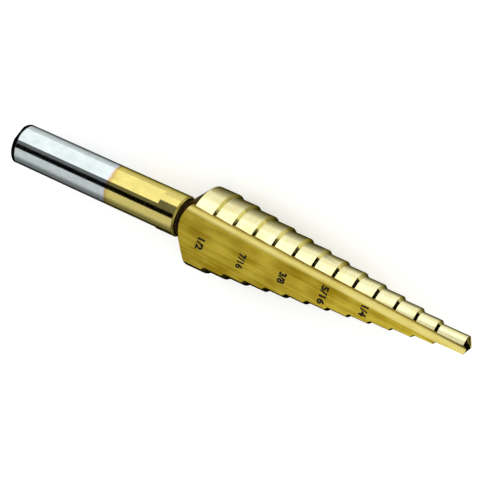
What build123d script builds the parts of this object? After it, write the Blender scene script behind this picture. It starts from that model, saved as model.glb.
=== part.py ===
from build123d import *
from build123d.topology import SkipClean

import os
from math import asin, cos, radians, sin, tan

# Step drill: thirteen steps from 1/8 to 1/2 inch, one straight flute, three flats on the shank.
#
# The drill is turned and ground from one bar. It is drawn standing on the axis Z, with Z = 0 at
# the butt of the shank. It is then laid down the way it comes to rest: its weight lies over the
# short land of the largest step, so it balances there with its axis level and the flute upwards.

# ---- Driving dimensions, in millimetres and degrees -------------------------------------------
LARGEST_DIAMETER = 12.7          # 1/2 inch
SMALLEST_DIAMETER = 3.175        # 1/8 inch
STEP_COUNT = 13                  # 1/32 inch from one diameter to the next
STEP_PITCH = 3.175               # along the axis, from one front corner to the next
STEP_CHAMFER_ANGLE = 45.0        # of the cutting corner between two steps, from the axis
REAR_LAND = 2.98                 # length of the largest diameter
PILOT_LAND = 4.05                # length of the smallest diameter
POINT_ANGLE = 118.0              # full angle of the starting point
LAND_RELIEF = 0.22               # how far the grinding axis of the lands is off the drill's axis

REAR_CONE_ANGLE = 47.5           # of the cone behind the largest step, from the axis
NECK_DIAMETER = 5.4
NECK_WIDTH = 0.3                 # of the groove between the shank and the rear cone

SHANK_DIAMETER = 6.35            # 1/4 inch
SHANK_LENGTH = 29.5
BUTT_ROUND = 0.45                # radius of the edge of the butt
SHANK_FRONT_CHAMFER = 0.25
FLAT_COUNT = 3
FLAT_WIDTH = 2.28
ROUND_LENGTH = 3.25              # of the shank in front of the flats, which is round all the way
FIRST_FLAT_ANGLE = 65.0          # direction that the first flat faces, from X towards Y

# The flute is a notch with two flat walls and a round root. Its root line runs straight from
# the rear of the largest step to the point, and comes closer to the axis on the way.
FLUTE_ROOT_REAR = (3.02, 4.51)   # X, Y of the corner of the two walls, at the neck
FLUTE_ROOT_FRONT = (0.346, 0.470)  # X, Y of the same corner, at the end of the smallest step
FLUTE_FACE_ANGLE = 12.3          # the wide wall, which carries the size marks, from X
FLUTE_RAKE_ANGLE = 20.1          # the narrow wall, which ends in the cutting edge, from Y
FLUTE_ROOT_RADIUS = 1.7
CUTTING_EDGE_ANGLE = 78.0        # direction of the cutting edge seen from the axis, from X

UP_AT_REST = 107.3               # direction that ends up on top, from X: opposite the heavy side

# ---- Worked out from them ---------------------------------------------------------------------
NODE = "step_drill"
LARGEST_RADIUS = LARGEST_DIAMETER / 2
SMALLEST_RADIUS = SMALLEST_DIAMETER / 2
NECK_RADIUS = NECK_DIAMETER / 2
SHANK_RADIUS = SHANK_DIAMETER / 2
STEP_HEIGHT = (LARGEST_RADIUS - SMALLEST_RADIUS) / (STEP_COUNT - 1)
STEP_CHAMFER = STEP_HEIGHT / tan(radians(STEP_CHAMFER_ANGLE))
POINT_LENGTH = SMALLEST_RADIUS / tan(radians(POINT_ANGLE / 2))

FLAT_LENGTH = SHANK_LENGTH - ROUND_LENGTH
CONE_FOOT = SHANK_LENGTH + NECK_WIDTH
REAR_RIM = CONE_FOOT + (LARGEST_RADIUS - NECK_RADIUS) / tan(radians(REAR_CONE_ANGLE))
FIRST_CORNER = REAR_RIM + REAR_LAND
LAST_STEP_CORNER = FIRST_CORNER + (STEP_COUNT - 2) * STEP_PITCH
SHOULDER = LAST_STEP_CORNER + STEP_CHAMFER + PILOT_LAND
TIP = SHOULDER + POINT_LENGTH


def towards(angle: float) -> Vector:
    """Unit vector across the axis, at an angle from X towards Y."""
    return Vector(cos(radians(angle)), sin(radians(angle)), 0)


def shank_flats() -> Part:
    """What the three jaw flats take off the shank, from the butt forward."""
    flat_distance = SHANK_RADIUS * cos(asin(FLAT_WIDTH / SHANK_DIAMETER))
    block = Pos(flat_distance, 0, 0) * Box(
        SHANK_RADIUS,
        SHANK_DIAMETER,
        FLAT_LENGTH,
        align=(Align.MIN, Align.CENTER, Align.MIN),
    )
    turns = [FIRST_FLAT_ANGLE + 360 * i / FLAT_COUNT for i in range(FLAT_COUNT)]
    return Part() + [Rot(Z=turn) * block for turn in turns]


def jaw_length() -> Part:
    """Rear stretch of the shank, where the three jaws of a chuck bite on the flats.

    The edge of the butt is rounded last, so that the round runs on past the ends of the flats.
    """
    align = (Align.CENTER, Align.CENTER, Align.MIN)
    bar = Cylinder(SHANK_RADIUS, FLAT_LENGTH, align=align) - shank_flats()
    butt = bar.faces().sort_by(Axis.Z)[0]
    return fillet(butt.edges(), BUTT_ROUND)


def round_length() -> Part:
    """Front stretch of the shank, round all the way, with the neck and a core for the body."""
    outline = Polyline(
        (0, FLAT_LENGTH),
        (SHANK_RADIUS, FLAT_LENGTH),
        (SHANK_RADIUS, SHANK_LENGTH - SHANK_FRONT_CHAMFER),
        (SHANK_RADIUS - SHANK_FRONT_CHAMFER, SHANK_LENGTH),
        (NECK_RADIUS, SHANK_LENGTH),
        (NECK_RADIUS, REAR_RIM),
        (0, REAR_RIM),
        close=True,
    )
    return revolve(Plane.XZ * make_face(outline), Axis.Z)


def stepped_body() -> Part:
    """Rear cone, the steps and the point, turned about the off-centre axis of the lands.

    The lands are backed off in this way: the cutting edge stands at the full radius, and the
    surface behind it falls away from the hole.
    """
    off = LAND_RELIEF
    corners = [(0, CONE_FOOT), (NECK_RADIUS - off, CONE_FOOT), (LARGEST_RADIUS - off, REAR_RIM)]
    for step in range(STEP_COUNT - 1):
        radius = LARGEST_RADIUS - off - step * STEP_HEIGHT
        corner = FIRST_CORNER + step * STEP_PITCH
        corners.append((radius, corner))
        corners.append((radius - STEP_HEIGHT, corner + STEP_CHAMFER))
    corners.append((SMALLEST_RADIUS - off, SHOULDER))
    corners.append((0, TIP - off / tan(radians(POINT_ANGLE / 2))))
    body = revolve(Plane.XZ * make_face(Polyline(corners, close=True)), Axis.Z)
    return Location(off * towards(CUTTING_EDGE_ANGLE)) * body


def flute() -> Part:
    """The notch, drawn across the axis at the neck and drawn out along its root line."""
    reach = 3 * LARGEST_RADIUS
    root_rear = Vector(*FLUTE_ROOT_REAR, SHANK_LENGTH)
    root_front = Vector(*FLUTE_ROOT_FRONT, SHOULDER)
    run = root_front - root_rear
    along_face = towards(180 + FLUTE_FACE_ANGLE)
    along_rake = towards(90 + FLUTE_RAKE_ANGLE)
    corner = Vector(0, 0)
    face_end = corner + reach * along_face
    rake_end = corner + reach * along_rake
    outer = face_end + reach * towards(90)
    outline = FilletPolyline(rake_end, corner, face_end, radius=FLUTE_ROOT_RADIUS)
    outline += Polyline(face_end, outer, rake_end)
    section = make_face(outline)
    length = run.length * (TIP - SHANK_LENGTH + reach) / (SHOULDER - SHANK_LENGTH)
    return Location(root_rear) * extrude(section, amount=length, dir=run.normalized())


def standing_drill() -> Part:
    """The whole drill on the axis Z, with its butt at Z = 0.

    The two stretches of the shank keep faces of their own, because only one of them has flats.
    """
    with SkipClean():
        return jaw_length() + round_length() + stepped_body() - flute()


def at_rest(drill: Part) -> Part:
    """Lays the drill down, point along +X, and centres its box over the origin."""
    lying = Rot(Y=90) * Rot(Z=180 - UP_AT_REST) * drill
    box = lying.bounding_box()
    middle = box.center()
    return Pos(-middle.X, -middle.Y, -box.min.Z) * lying


drill = at_rest(standing_drill())
drill.label = NODE

os.makedirs("parts", exist_ok=True)
export_step(drill, f"parts/{NODE}.step")
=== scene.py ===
# %% [markdown]
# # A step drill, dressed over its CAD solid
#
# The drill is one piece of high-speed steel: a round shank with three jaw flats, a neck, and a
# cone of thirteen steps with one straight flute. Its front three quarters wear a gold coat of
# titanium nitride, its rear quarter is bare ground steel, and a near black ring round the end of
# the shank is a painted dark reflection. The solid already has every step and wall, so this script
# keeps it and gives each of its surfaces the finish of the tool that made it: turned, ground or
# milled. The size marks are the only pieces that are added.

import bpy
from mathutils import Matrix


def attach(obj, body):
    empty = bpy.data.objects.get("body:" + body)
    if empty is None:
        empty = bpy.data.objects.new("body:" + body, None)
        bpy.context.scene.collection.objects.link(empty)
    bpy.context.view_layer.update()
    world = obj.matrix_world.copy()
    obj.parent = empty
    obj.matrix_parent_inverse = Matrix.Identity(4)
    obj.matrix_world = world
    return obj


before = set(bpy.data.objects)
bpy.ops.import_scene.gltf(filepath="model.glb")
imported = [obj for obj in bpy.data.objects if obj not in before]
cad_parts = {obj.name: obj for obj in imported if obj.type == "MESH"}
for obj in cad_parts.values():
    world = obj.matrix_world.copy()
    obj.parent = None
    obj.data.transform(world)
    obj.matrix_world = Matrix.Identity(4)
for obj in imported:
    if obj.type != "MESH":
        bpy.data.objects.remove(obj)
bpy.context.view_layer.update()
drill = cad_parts["step_drill"]

# %% [markdown]
# ## Where things are on the drill
#
# The drill lies along X with its point at +X, balanced on the land of its largest step. Nearly
# everything on it is placed along or around its own axis, so that axis is named here once. Around
# the axis, "across" is the direction that the wide wall of the flute runs in, and "out" is the
# direction that this wall faces when it is seen from the front.

# %% Name the drill's axis and the stations along it
import math

import bpy
from mathutils import Matrix, Vector

MM = 0.001
AXIS = Vector((0, -0.1077, 5.938)) * MM        # the drill's axis runs along X through this point
BUTT = -38.159 * MM
SHANK_FRONT = BUTT + 29.5 * MM                 # where the shank ends and the neck begins
CONE_FOOT = BUTT + 29.8 * MM
COAT_EDGE = BUTT + 17.2 * MM                   # the coating jig held the drill up to here
SHANK_RADIUS = 3.175 * MM
DARK_RING_EDGE = BUTT + 0.86 * MM                  # the grinding of the round shank begins here
ALONG = Vector((1, 0, 0))
ACROSS = Vector((0, 0.9548, -0.2974))
OUT = Vector((0, 0.2974, 0.9548))
# From the neck to the last step, the flute's root goes so many mm along, across and inwards.
FLUTE_RUN = (45.9965 * ALONG - 2.674 * ACROSS - 4.04 * OUT).normalized()
print("the flute leans", round(math.degrees(math.acos(FLUTE_RUN.x)), 2), "degrees to the axis")

# %% [markdown]
# ## Colours and nodes
#
# Colours are written as the hex values that a paint chart would give. Blender's shaders work in
# linear light, so one function turns every hex value into linear numbers. A second small function
# adds a node, sets it and links it, so that each material below reads as a list of its parts. A
# third starts a material with an empty tree.


# %% Make the helpers
def linear(hex_colour: str) -> tuple:
    """An sRGB hex colour as linear red, green, blue and full alpha."""
    values = [int(hex_colour[i : i + 2], 16) / 255 for i in (1, 3, 5)]
    return (*[v / 12.92 if v <= 0.04045 else ((v + 0.055) / 1.055) ** 2.4 for v in values], 1)


def add(tree, kind, inputs=None, **settings):
    """Adds a node of a kind; inputs take a value or another node's output."""
    node = tree.nodes.new(kind)
    for name, value in settings.items():
        setattr(node, name, value)
    for name, value in (inputs or {}).items():
        if isinstance(value, bpy.types.NodeSocket):
            tree.links.new(value, node.inputs[name])
        else:
            node.inputs[name].default_value = value
    return node


def empty_material(name: str):
    """A material with no nodes yet, and its node tree."""
    material = bpy.data.materials.new(name)
    material.use_nodes = True
    material.node_tree.nodes.clear()
    return material, material.node_tree


print("mid grey #808080 in linear light:", round(linear("#808080")[0], 3))

# %% [markdown]
# ## Patterns in millimetres, and the distance from the axis
#
# Every finish on the drill needs marks of a known size: rings, streaks, clouds. A noise texture
# has no size of its own, so a mapping in front of it stretches one unit of noise to so many
# millimetres along each axis. The mapping could scale the other way round, but as a texture
# mapping it reads in plain lengths. Two finishes also need to know how far a point is from the
# drill's axis. Both are built here, and each takes and gives sockets as a node does.


# %% Make the pattern and the distance
def pattern(tree, place, size, turn=(0, 0, 0), centre=AXIS, **settings):
    """Noise whose marks have a size in mm along X, Y and Z, turned about a centre."""
    marks_at = add(
        tree,
        "ShaderNodeMapping",
        {
            "Vector": place,
            "Location": centre,
            "Rotation": turn,
            "Scale": [side * MM for side in size],
        },
        vector_type="TEXTURE",
    )
    inputs = {"Vector": marks_at.outputs["Vector"], "Scale": 1, **settings}
    return add(tree, "ShaderNodeTexNoise", inputs).outputs["Fac"]


def distance_from_axis(tree, place):
    """How far a point is from the drill's axis, in metres."""
    beside = add(
        tree,
        "ShaderNodeVectorMath",
        {0: place, 1: (0, 1, 1), 2: (0, -AXIS.y, -AXIS.z)},
        operation="MULTIPLY_ADD",
    )
    length = add(tree, "ShaderNodeVectorMath", {0: beside.outputs["Vector"]}, operation="LENGTH")
    return length.outputs["Value"]


FINE = {"Detail": 3, "Roughness": 0.6}         # for tool marks, which have finer marks in them
print("patterns turn about the axis at", [round(v / MM, 3) for v in AXIS], "mm")

# %% [markdown]
# ## Titanium nitride over every way of cutting steel
#
# The coat is a few thousandths of a millimetre of titanium nitride, a hard ceramic that shines
# like a metal, so the shader is fully metallic. It is too thin to hide the marks of the tool that
# cut the steel under it. They are what tells one surface from the next: rings on what was turned
# and ground round, straight streaks along the flute. It could be one gold material for the whole
# drill, but then the drill would look cast. So one function builds the coat, and each surface
# gives it the size of one mark, the direction the marks run in, and how pale the gold is there.
# A dark specular tint keeps the gold from turning white where it is seen at a flat angle.


# %% Build the coat for one way of cutting
def nitride(name, pale, deep, mark, turn=(0, 0, 0), roughness=(0.22, 0.34), bump=0.25):
    """Titanium nitride over marks of the given size in mm: along, across and into the surface."""
    material, tree = empty_material(name)
    place = add(tree, "ShaderNodeTexCoord").outputs["Object"]
    marks = pattern(tree, place, mark, turn, **FINE)
    clouds = pattern(tree, place, (5, 2.5, 2.5), turn, Detail=2)
    tone = add(tree, "ShaderNodeMath", {0: marks, 1: clouds}, operation="ADD")
    depth = add(
        tree,
        "ShaderNodeMapRange",
        {"Value": tone.outputs["Value"], "From Min": 0.8, "From Max": 1.2},
    )
    colour = add(
        tree,
        "ShaderNodeMix",
        {0: depth.outputs["Result"], COLOUR_A: linear(pale), COLOUR_B: linear(deep)},
        data_type="RGBA",
    )
    rough = add(
        tree,
        "ShaderNodeMapRange",
        {
            "Value": marks,
            **MIDDLE,
            "To Min": roughness[0],
            "To Max": roughness[1],
        },
    )
    relief = add(
        tree,
        "ShaderNodeBump",
        {"Height": marks, "Strength": bump, "Distance": MARK_RELIEF},
    )
    surface = add(
        tree,
        "ShaderNodeBsdfPrincipled",
        {
            "Base Color": colour.outputs[2],
            "Metallic": 1.0,
            "Roughness": rough.outputs["Result"],
            "Specular Tint": linear("#8A7C48"),
            "Normal": relief.outputs["Normal"],
        },
    )
    add(tree, "ShaderNodeOutputMaterial", {"Surface": surface.outputs["BSDF"]})
    return material


COLOUR_A, COLOUR_B = 6, 7                      # the Mix node's two colours, by their place
MIDDLE = {"From Min": 0.3, "From Max": 0.7}    # the values that most of a noise lies between
MARK_RELIEF = 0.02 * MM                        # how deep the bump takes a tool mark to be
print("tool marks are", MARK_RELIEF / MM, "mm deep")

# %% [markdown]
# ## Lands and corners: ground round
#
# The lands and the cutting corners are ground by a wheel that goes round the drill, so their
# marks are fine rings. A fine wheel gives the eye long clear reflections in pale gold, with a
# faint grain across them. The lands' gold is paler and whiter than the rest of the coat, and that
# paleness is partly painted highlight, for the washed-out shine of the lands. The real rings are
# about 0.03 mm apart. They are drawn 0.12 to 0.16 mm wide, because that is the finest that shows
# when the whole drill is in view. The corners are dressed a little smoother than the lands, so
# their dark reflections have sharp ends.

# %% Coat the lands and corners
# partly painted highlight: the pale cream gold stands in for the washed-out shine of the lands
ground_lands = nitride(
    "Titanium nitride on ground lands",
    "#E4DFB0",
    "#D8CF96",
    (0.16, 6, 6),
    roughness=(0.12, 0.20),
)
ground_corners = nitride(
    "Titanium nitride on ground corners",
    "#D2C778",
    "#B8AA52",
    (0.12, 4, 4),
    roughness=(0.08, 0.15),
)
print("ground:", ground_lands.name, "and", ground_corners.name)

# %% [markdown]
# ## The flute: milled along its run
#
# A formed cutter runs the length of the flute, so its marks are long streaks in line with the
# root. On the wide wall they are rough enough to blur what it mirrors, which gives the eye a deep
# satin gold with brushed streaks. The rounded root is smoother, and its paler gold is partly
# painted highlight, for the bright band it shows. The real streaks are 0.05 to 0.1 mm wide, and
# are drawn 0.3 and 0.5 mm wide so that they show. The mapping is turned by the lean of the flute,
# so they follow its run.

# %% Coat the flute
flute_turn = (0, 0, math.atan2(FLUTE_RUN.y, FLUTE_RUN.x))
milled_face = nitride(
    "Titanium nitride on the milled flute",
    "#E8D04A",
    "#B0921C",
    (16, 0.30, 2),
    turn=flute_turn,
    roughness=(0.36, 0.46),
    bump=0.8,
)
# partly painted highlight: the pale gold stands in for the bright band that the root shows
milled_root = nitride(
    "Titanium nitride in the flute root",
    "#F0E28A",
    "#E0CC66",
    (14, 0.5, 0.5),
    turn=flute_turn,
    roughness=(0.28, 0.36),
    bump=0.15,
)
print("milled:", milled_face.name, "and", milled_root.name)

# %% [markdown]
# ## The rear cone, the edge of the shank and the neck
#
# Nothing works behind the largest step, so the cone there is left as it was turned, with rings
# 0.14 mm apart as the feed of the lathe left them. Its dull darker bronze is painted shade, for a
# cone that faces away from the light. The front edge of the shank is tumbled, which rounds and
# dulls it: it gives the eye one soft pale ring. The neck is a narrow groove, and its nearly black
# brown is painted shade for the dark of the groove; it is also rough.

# %% Coat the cone, the edge and the neck
# painted shade: the cone's dull darker bronze stands in for the shade of a cone that faces away
turned_cone = nitride(
    "Titanium nitride on turned steel",
    "#8C8672",
    "#66604C",
    (0.14, 5, 5),
    roughness=(0.2, 0.3),
)
tumbled_edge = nitride(
    "Titanium nitride on a tumbled edge",
    "#E0D070",
    "#C4B048",
    (0.1, 3, 3),
    roughness=(0.34, 0.44),
)
# painted shade: the neck's near black brown stands in for the dark of the narrow groove
painted_shade_neck = nitride(
    "Titanium nitride in the neck with painted shade",
    "#4A3E22",
    "#241C0E",
    (0.1, 1.5, 1.5),
    roughness=(0.4, 0.6),
)
print("coats:", [m.name for m in bpy.data.materials if "itanium nitride" in m.name])

# %% [markdown]
# ## The shank: bare steel behind, coated in front
#
# The shank is ground round and its flats are ground after it, which gives the eye a bright steel
# with hard dark and light stripes along it. In the coating furnace a jig holds the drill by the
# rear of the shank, so that end stays bare. At the border the coat thins out: a straw-brown
# fringe first, then a faint blue bloom on the bare steel from the heat. The end of the bar is
# turned and not ground after, and the near black ring round it is a painted dark reflection on
# the rim. Two materials with a face border between them would give steps along the triangles,
# so one material takes all of it from the place along the axis.

# %% Draw the shank's rings and clouds
RING_WIDTH = 0.18                              # mm; really about 0.03, too fine to show
shank_finish, tree = empty_material("Ground steel with a nitride coat in front")
place = add(tree, "ShaderNodeTexCoord").outputs["Object"]
rings = pattern(tree, place, (RING_WIDTH, 5, 5), **FINE)
clouds = pattern(tree, place, (1.6, 1, 1), Detail=3)
print("grinding rings drawn", RING_WIDTH, "mm wide")

# %% Colour the border of the coat
WANDER = 0.9 * MM                              # how far the clouds push the border, as heat did
FADE_START = COAT_EDGE - 1.8 * MM
FADE_END = COAT_EDGE + 2.0 * MM
BORDER_COLOURS = [
    (0.0, "#C0C9C9"),                          # bare steel
    (0.42, "#C2CBCC"),
    (0.51, "#C2CBDC"),                         # blue bloom
    (0.59, "#C8C2C4"),
    (0.64, "#BCA47A"),                         # straw fringe
    (0.70, "#B09A60"),
    (0.77, "#C8B662"),
    (0.95, "#CCBE70"),                         # the full coat
]
along = add(tree, "ShaderNodeSeparateXYZ", {"Vector": place}).outputs["X"]
wander = add(
    tree,
    "ShaderNodeMath",
    {0: clouds, 1: WANDER, 2: along},
    operation="MULTIPLY_ADD",
)
border = add(
    tree,
    "ShaderNodeMapRange",
    {"Value": wander.outputs["Value"], "From Min": FADE_START, "From Max": FADE_END},
)
coat_colours = add(tree, "ShaderNodeValToRGB", {"Fac": border.outputs["Result"]})
stops = coat_colours.color_ramp.elements
stops[1].position, stops[1].color = BORDER_COLOURS[-1][0], linear(BORDER_COLOURS[-1][1])
stops[0].color = linear(BORDER_COLOURS[0][1])
for position, colour in BORDER_COLOURS[1:-1]:
    stops.new(position).color = linear(colour)
mottle = add(
    tree,
    "ShaderNodeMapRange",
    {"Value": clouds, **MIDDLE, "To Min": 0.86, "To Max": 1.0},
)
shank_colour = add(
    tree,
    "ShaderNodeVectorMath",
    {0: coat_colours.outputs["Color"], "Scale": mottle.outputs["Result"]},
    operation="SCALE",
)
print("border of the coat at x =", round(COAT_EDGE / MM, 2), "mm")

# %% Paint a dark reflection round the butt
# The painted dark ring ends on a cone, as the turned edge does. So it ends sooner on the flats,
# which lie nearer the axis, and its border is curved there.
CONE_EDGE = DARK_RING_EDGE - SHANK_RADIUS
SOFT_EDGE = 0.04 * MM
past_cone = add(
    tree,
    "ShaderNodeMath",
    {0: along, 1: distance_from_axis(tree, place)},
    operation="SUBTRACT",
)
beyond_dark_ring = add(
    tree,
    "ShaderNodeMapRange",
    {
        "Value": past_cone.outputs["Value"],
        "From Min": CONE_EDGE - SOFT_EDGE,
        "From Max": CONE_EDGE + SOFT_EDGE,
    },
).outputs["Result"]
# painted dark reflection: a near black ring #0C0C0D round the rim of the butt
dark_ring_or_steel = add(
    tree,
    "ShaderNodeMix",
    {0: beyond_dark_ring, COLOUR_A: linear("#0C0C0D"), COLOUR_B: shank_colour.outputs["Vector"]},
    data_type="RGBA",
)
print("painted dark ring up to x =", round(DARK_RING_EDGE / MM, 2), "mm")

# %% Put the shank's finish together
DARK_RING_ROUGHNESS = 0.5
ground_rough = add(
    tree,
    "ShaderNodeMapRange",
    {"Value": rings, **MIDDLE, "To Min": 0.07, "To Max": 0.14},
)
shank_rough = add(
    tree,
    "ShaderNodeMapRange",
    {"Value": beyond_dark_ring, "To Min": DARK_RING_ROUGHNESS, "To Max": ground_rough.outputs["Result"]},
)
shank_relief = add(
    tree,
    "ShaderNodeBump",
    {"Height": rings, "Strength": 0.2, "Distance": MARK_RELIEF},
)
shank_surface = add(
    tree,
    "ShaderNodeBsdfPrincipled",
    {
        "Base Color": dark_ring_or_steel.outputs[2],
        "Metallic": 1.0,
        "Roughness": shank_rough.outputs["Result"],
        "Specular Tint": linear("#7A7C7A"),
        "Normal": shank_relief.outputs["Normal"],
    },
)
add(tree, "ShaderNodeOutputMaterial", {"Surface": shank_surface.outputs["BSDF"]})
print("shank:", shank_finish.name)

# %% [markdown]
# ## The face of the butt
#
# The end of the bar is faced on a lathe: the tool moves from the rim to the centre and leaves
# grooves in circles round the axis. A thin grey scale lies over them. It gives the eye a dull grey
# disc that shimmers in rings. A noise along one line, read at the distance from the axis, makes
# such circles with no centre to place. The feed was about 0.2 mm, and the rings have that size.

# %% Build the finish of the butt's face
GROOVE_WIDTH = 0.2 * MM
faced_butt, tree = empty_material("Faced steel under thin furnace scale")
place = add(tree, "ShaderNodeTexCoord").outputs["Object"]
grooves = add(
    tree,
    "ShaderNodeTexNoise",
    {"W": distance_from_axis(tree, place), "Scale": 1 / GROOVE_WIDTH, "Detail": 2},
    noise_dimensions="1D",
).outputs["Fac"]
butt_colours = add(tree, "ShaderNodeValToRGB", {"Fac": grooves})
stops = butt_colours.color_ramp.elements
for stop, position, colour in zip(stops, (0.3, 0.7), ("#46484A", "#74787A")):
    stop.position = position
    stop.color = linear(colour)
groove_relief = add(
    tree,
    "ShaderNodeBump",
    {"Height": grooves, "Strength": 0.4, "Distance": MARK_RELIEF},
)
butt_surface = add(
    tree,
    "ShaderNodeBsdfPrincipled",
    {
        "Base Color": butt_colours.outputs["Color"],
        "Metallic": 1.0,
        "Roughness": 0.38,
        "Normal": groove_relief.outputs["Normal"],
    },
)
add(tree, "ShaderNodeOutputMaterial", {"Surface": butt_surface.outputs["BSDF"]})
print("grooves on the butt are", GROOVE_WIDTH / MM, "mm wide")

# %% [markdown]
# ## One solid, nine finishes
#
# The drill is a single solid, and each of its surfaces is known by where it is and which way it
# faces: a land faces straight away from the axis, a corner also faces the point, and the flute is
# what is left. They could be picked by hand, but a rule still holds when the solid is packed
# again. So the finishes are given face by face, by the place and the normal of each.

# %% List the finishes
FINISHES = {
    "shank": shank_finish,
    "butt": faced_butt,
    "edge": tumbled_edge,
    "neck": painted_shade_neck,
    "cone": turned_cone,
    "land": ground_lands,
    "corner": ground_corners,
    "face": milled_face,
    "root": milled_root,
}
drill.data.materials.clear()
for material in FINISHES.values():
    drill.data.materials.append(material)
print("finishes:", list(FINISHES))


# %% Give each face the finish of its surface
def finish_of(face) -> str:
    """The name of a face's finish, from the rear of the drill to its point."""
    away = Vector((0, face.center.y, face.center.z)) - AXIS
    outwards = face.normal.dot(away.normalized())
    if face.center.x < BUTT + NEAR:
        return "butt"
    if face.center.x < SHANK_FRONT - EDGE_CHAMFER:
        return "shank"
    if face.center.x < SHANK_FRONT - NEAR:
        return "edge"
    if face.center.x < CONE_FOOT:
        return "neck"
    if face.normal.x < -0.5:                   # faces the butt
        return "cone"
    if abs(face.normal.x) < 0.01 and outwards > 0.97 and away.length > SMALLEST_LAND:
        return "land"
    if face.normal.x > 0.6 and outwards > 0.3:  # faces the point and away from the axis
        return "corner"
    if face.normal.dot(FACE_NORMAL) > 0.9995:  # less than two degrees off the wide wall
        return "face"
    return "root"


NEAR = 0.01 * MM
EDGE_CHAMFER = 0.25 * MM                       # of the tumbled edge, along the axis
SMALLEST_LAND = 1.12 * MM                      # nearer the axis than this there is only the flute
FACE_NORMAL = Vector((0.0732, 0.0869, 0.9935)).normalized()  # of the wide wall of the flute
names = list(FINISHES)
for face in drill.data.polygons:
    face.material_index = names.index(finish_of(face))
for index, name in enumerate(names):
    print(name, sum(face.material_index == index for face in drill.data.polygons), "triangles")

# %% [markdown]
# ## The size marks
#
# Every second step carries its diameter as a fraction of an inch, marked by laser on the wide
# wall. A mark is a thin layer of black oxide, matt and a little uneven, so it gives the eye flat
# brown black that never shines as the gold round it does. It could be a pattern in the gold, but
# then the letters would be as coarse as the pattern, and the mesh would not have them. So each
# fraction is set as text, made a mesh, and laid on the wall with its back just under the gold, so
# that no gap shows. The laser's spots are about 0.05 mm, and the grain is drawn at 0.15 mm.

# %% Build the finish of the marks
GRAIN = 0.15                                   # mm
laser_black, tree = empty_material("Laser mark in black oxide")
place = add(tree, "ShaderNodeTexCoord").outputs["Object"]
grain = pattern(tree, place, (GRAIN, GRAIN, GRAIN), centre=(0, 0, 0), Detail=2)
oxide = add(tree, "ShaderNodeValToRGB", {"Fac": grain})
stops = oxide.color_ramp.elements
for stop, position, colour in zip(stops, (0.35, 0.75), ("#0C0A06", "#241D0C")):
    stop.position = position
    stop.color = linear(colour)
oxide_surface = add(
    tree,
    "ShaderNodeBsdfPrincipled",
    {"Base Color": oxide.outputs["Color"], "Roughness": 0.7, "Specular IOR Level": 0.2},
)
add(tree, "ShaderNodeOutputMaterial", {"Surface": oxide_surface.outputs["BSDF"]})
print("marks:", laser_black.name)

# %% Measure the wide wall
WALL_POINT = next(f for f in drill.data.polygons if finish_of(f) == "face").center
FACE_ALONG = (ALONG - FACE_NORMAL.x * FACE_NORMAL).normalized()
FACE_ACROSS = FACE_NORMAL.cross(FACE_ALONG)
print("wall faces", [round(v, 3) for v in FACE_NORMAL])


# %% Lay the five fractions on the wall
def on_wall(x: float, across: float) -> Vector:
    """The point of the wide wall at x, that far across from the axis."""
    beside_axis = AXIS + x * ALONG + across * ACROSS
    height = (WALL_POINT - beside_axis).dot(FACE_NORMAL) / OUT.dot(FACE_NORMAL)
    return beside_axis + height * OUT


def lay_mark(text, name, x, across, width):
    """A fraction as thin plates on the wall, read from the cutting edge down."""
    bpy.ops.object.select_all(action="DESELECT")
    bpy.ops.object.text_add()
    mark = bpy.context.object
    mark.data.body = text
    mark.data.offset = 0.05                    # makes the strokes bolder
    mark.data.resolution_u = 6
    bpy.ops.object.convert(target="MESH")
    mark = bpy.context.object
    mark.name = name
    xs = [v.co.x for v in mark.data.vertices]
    ys = [v.co.y for v in mark.data.vertices]
    middle = Vector(((min(xs) + max(xs)) / 2, (min(ys) + max(ys)) / 2, 0))
    bpy.ops.object.mode_set(mode="EDIT")
    bpy.ops.mesh.select_all(action="SELECT")
    bpy.ops.mesh.remove_doubles(threshold=0.0005)  # a numeral is still about 0.7 high here
    bpy.ops.transform.translate(value=-middle)
    bpy.ops.transform.resize(
        value=(width / (max(xs) - min(xs)), MARK_HEIGHT / (max(ys) - min(ys)), 1),
        center_override=(0, 0, 0),
    )
    bpy.ops.object.mode_set(mode="OBJECT")
    sides = Matrix((-FACE_ACROSS, FACE_ALONG, FACE_NORMAL)).transposed().to_4x4()
    mark.matrix_world = Matrix.Translation(on_wall(x, across)) @ sides
    bpy.ops.object.transform_apply(location=True, rotation=True, scale=True)
    plate = mark.modifiers.new("plate", "SOLIDIFY")
    plate.thickness = MARK_DEPTH
    plate.offset = 0
    bpy.ops.object.modifier_apply(modifier=plate.name)
    mark.data.materials.append(laser_black)
    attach(mark, "root")
    return mark


MARK_HEIGHT = 1.2 * MM                         # of the stroke between the two numbers
MARK_DEPTH = 0.016 * MM
SIZE_MARKS = [                                 # x, how far across, and width, in mm
    ("1/2", -3.38, -2.59, 1.68),
    ("7/16", 3.25, -2.38, 2.16),
    ("3/8", 9.75, -2.10, 1.63),
    ("5/16", 16.21, -1.89, 2.72),
    ("1/4", 22.41, -1.58, 1.56),
]
marks = [
    lay_mark(text, "mark_" + text.replace("/", "_"), x * MM, across * MM, width * MM)
    for text, x, across, width in SIZE_MARKS
]
print("marks:", [(m.name, len(m.data.polygons)) for m in marks])

# %% [markdown]
# ## The floor
#
# The drill lies on white paper. The paper keeps the drill's shadow, so it is a plain matt surface,
# and a faint glow of its own, seen by the camera and in reflections only, brings it up to white.
# The glow could be more light instead, but that would bleach the drill too.

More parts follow.
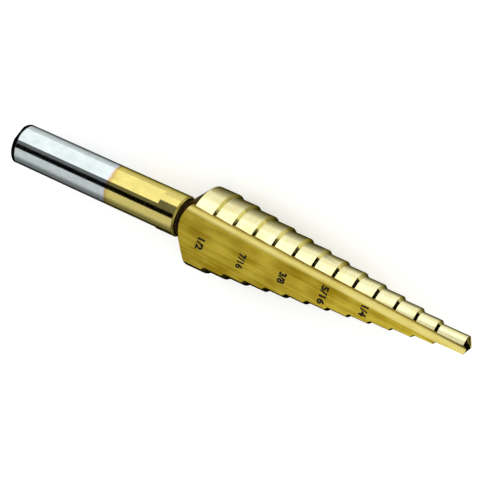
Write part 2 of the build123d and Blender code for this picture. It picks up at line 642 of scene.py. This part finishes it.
# %% Make the floor
bpy.ops.object.select_all(action="DESELECT")
bpy.ops.mesh.primitive_plane_add(size=8)
floor = bpy.context.object
floor.name = "floor"
PAPER_GLOW = 0.28
paper, tree = empty_material("White paper sweep")
paper_surface = add(tree, "ShaderNodeBsdfDiffuse", {"Color": linear("#F2F2F1")})
light_path = add(tree, "ShaderNodeLightPath")
seen = add(
    tree,
    "ShaderNodeMath",
    {0: light_path.outputs["Is Camera Ray"], 1: light_path.outputs["Is Glossy Ray"]},
    operation="MAXIMUM",
)
seen_too = add(
    tree,
    "ShaderNodeMath",
    {0: seen.outputs["Value"], 1: light_path.outputs["Is Transmission Ray"]},
    operation="MAXIMUM",
)
lift = add(
    tree,
    "ShaderNodeMath",
    {0: seen_too.outputs["Value"], 1: PAPER_GLOW},
    operation="MULTIPLY",
)
paper_glow = add(tree, "ShaderNodeEmission", {"Strength": lift.outputs["Value"]})
paper_sum = add(
    tree,
    "ShaderNodeAddShader",
    {0: paper_surface.outputs["BSDF"], 1: paper_glow.outputs["Emission"]},
)
add(tree, "ShaderNodeOutputMaterial", {"Surface": paper_sum.outputs["Shader"]})
floor.data.materials.append(paper)
print("floor", [round(v, 1) for v in floor.dimensions], "m")

# %% [markdown]
# ## The light: a white tent
#
# Bright metal shows the room more than it shows itself, so the light is mostly the room. The room
# is a white tent at strength 1, where a colour renders about as it is written. A tent alone would
# leave the drill flat, so one long soft box stands behind it, from the height of the floor to 40
# degrees up. It is weak enough that the pale gold keeps its colour.

# %% Put up the white tent
world = bpy.data.worlds.new("White tent")
bpy.context.scene.world = world
world.use_nodes = True
tree = world.node_tree
tree.nodes.clear()
tent = add(tree, "ShaderNodeBackground", {"Color": linear("#FFFFFF"), "Strength": 1.0})
add(tree, "ShaderNodeOutputWorld", {"Surface": tent.outputs["Background"]})
print("tent:", world.name)


# %% Add the soft box
def soft_box(name, lowest, highest, radiance, length=1.5, distance=0.62):
    """A long soft box behind the drill, between two angles over the floor from +Y."""
    bpy.ops.object.select_all(action="DESELECT")
    bpy.ops.object.light_add(type="AREA")
    lamp = bpy.context.object
    lamp.name = name
    lamp.data.shape = "RECTANGLE"
    lamp.data.size = length
    angle = math.radians((lowest + highest) / 2)
    lamp.data.size_y = 2 * distance * math.tan(math.radians(highest - lowest) / 2)
    lamp.data.energy = radiance * math.pi * length * lamp.data.size_y
    lamp.location = AXIS + distance * Vector((0, math.cos(angle), math.sin(angle)))
    lamp.rotation_euler = (angle - math.pi / 2, 0, 0)
    lamp.visible_camera = False
    return lamp


lamp = soft_box("far_soft_box", 2, 40, 0.7)
print("lamp:", lamp.name, round(lamp.data.energy, 2), "W")

# %% [markdown]
# ## The cards that give metal its form
#
# In an all-white tent a polished drill nearly vanishes. A studio hangs and lays dark and grey
# cards round it, just out of view, and each puts one dark line or soft step on the metal. It could
# be done with darker lamps, but a card gives the sharp edges that polished steel shows. The cards
# here are seen by reflections only, so they throw no shadow and leave the floor white. Each one is
# named for where it is, and a comment says what it puts on the drill.


# %% Make the card stocks
def card_stock(name, start, end):
    """Matt card that runs from one grey at its lower edge to another at its upper edge."""
    stock, tree = empty_material(name)
    up = add(
        tree,
        "ShaderNodeSeparateXYZ",
        {"Vector": add(tree, "ShaderNodeTexCoord").outputs["UV"]},
    ).outputs["Y"]
    grey = add(
        tree,
        "ShaderNodeMix",
        {0: up, COLOUR_A: linear(start), COLOUR_B: linear(end)},
        data_type="RGBA",
    )
    matt = add(tree, "ShaderNodeBsdfDiffuse", {"Color": grey.outputs[2]})
    add(tree, "ShaderNodeOutputMaterial", {"Surface": matt.outputs["BSDF"]})
    return stock


black = card_stock("Black velvet card", "#080808", "#080808")
dim = card_stock("Grey card", "#848484", "#848484")
pale = card_stock("Pale grey card", "#A8A8A8", "#A8A8A8")
rising = card_stock("Wall card from grey to white", "#707070", "#F4F4F4")
shade = card_stock("Card from black to white", "#1A1A1A", "#FFFFFF")
thin_shade = card_stock("Card from grey to white", "#7A7A7A", "#FFFFFF")
near_shade = card_stock("Card from grey to black", "#A8A8A8", "#080808")
print("stocks:", [m.name for m in bpy.data.materials if "card" in m.name.lower()])


# %% Hang and lay the cards
def card(name, stock, place, turn, size):
    """A card that only the metal sees, of a size in metres, turned by degrees."""
    bpy.ops.object.select_all(action="DESELECT")
    angles = [math.radians(degrees) for degrees in turn]
    bpy.ops.mesh.primitive_plane_add(size=1, location=place, rotation=angles)
    piece = bpy.context.object
    piece.name = name
    piece.scale = (*size, 1)
    piece.data.materials.append(stock)
    piece.visible_camera = False
    piece.visible_diffuse = False
    piece.visible_shadow = False
    return piece


LIE = 0.0002                                   # lying cards are this far over the floor
cards = [
    # the dark line along the shank and the lands, and the grey step above it
    card("overhead_card", black, (-0.33, -0.07, 0.60), (0, 0, 0), (0.46, 0.274)),
    card("overhead_grey_card", dim, (-0.49, 0.2575, 0.601), (0, 0, 20), (0.50, 0.78)),
    # the shade under the far edges of the shank, the large lands and the small lands
    # painted shadow: these cards stand in for the drill's own shadow on the floor behind it
    card("behind_shank_card", thin_shade, (-0.08575, 0.00525, LIE), (0, 0, 0), (0.1485, 0.0045)),
    card("behind_body_card", shade, (-0.00025, 0.0115, LIE), (0, 0, 0), (0.0225, 0.019)),
    card("behind_point_card", shade, (0.0305, 0.00675, LIE), (0, 0, 0), (0.039, 0.0105)),
    # the dark near edge, the ramp up from it, and the grey of the whole near side
    # painted shadow: the black and the grey to black card stand in for the drill's shadow on the
    # floor in front
    card("near_card", black, (0, -0.0065, LIE), (0, 0, 0), (2.0, 0.007)),
    card("near_ramp_card", near_shade, (0, -0.0375, LIE), (0, 0, 0), (2.0, 0.055)),
    card("near_grey_card", pale, (0, -0.5325, LIE), (0, 0, 0), (2.0, 0.935)),
    card("near_wall_card", rising, (-0.65, -0.60, 0.175), (90, 0, 0), (0.9, 0.35)),
    # the black feet of the cutting corners
    card("point_card", black, (0.7358, -0.0536, 3 * LIE), (0, 0, 38.7), (1.0, 1.0)),
    card("beside_point_card", black, (0.043, 0.019, 2 * LIE), (0, 0, 0), (0.018, 0.014)),
    card("point_wall_card", black, (0.47, -0.185, 0.15), (90, 0, 69.6), (1.5, 0.30)),
]
print("cards:", len(cards))

# %% [markdown]
# ## Camera
#
# The camera looks down on the drill, a little from its point end, and is close enough for some
# perspective. It could be placed by hand and pointed by eye. Here its direction is built from the
# drill's own axes, a turn of the view towards the point and a roll that lays the drill across the
# frame, so each number means something and can be set by itself.

# %% Place the camera
VIEW_DISTANCE = 262.94 * MM
ASIDE = 0.0946 * MM                            # of the camera from the axis
TURN = math.radians(23.241)                    # of the view, from square on the axis to the point
ROLL = math.radians(24.5)
FOCUS = AXIS + Vector((1.371, 0, 0)) * MM      # the point of the axis that the camera faces
back = math.cos(TURN) * OUT + math.sin(TURN) * ALONG
level = math.cos(TURN) * ALONG - math.sin(TURN) * OUT
right = math.cos(ROLL) * level + math.sin(ROLL) * ACROSS
up = back.cross(right)
bpy.ops.object.select_all(action="DESELECT")
bpy.ops.object.camera_add()
camera = bpy.context.object
camera.name = "camera"
camera.data.lens = 137.18
camera.data.sensor_width = 36
camera.data.clip_start = 0.01
camera.data.clip_end = 20
facing = Matrix((right, up, back)).transposed().to_4x4()
camera.matrix_world = Matrix.Translation(FOCUS + ASIDE * ACROSS + VIEW_DISTANCE * back) @ facing
bpy.context.scene.camera = camera
bpy.context.scene.view_settings.view_transform = "Standard"
print("camera at", [round(v, 4) for v in camera.location])
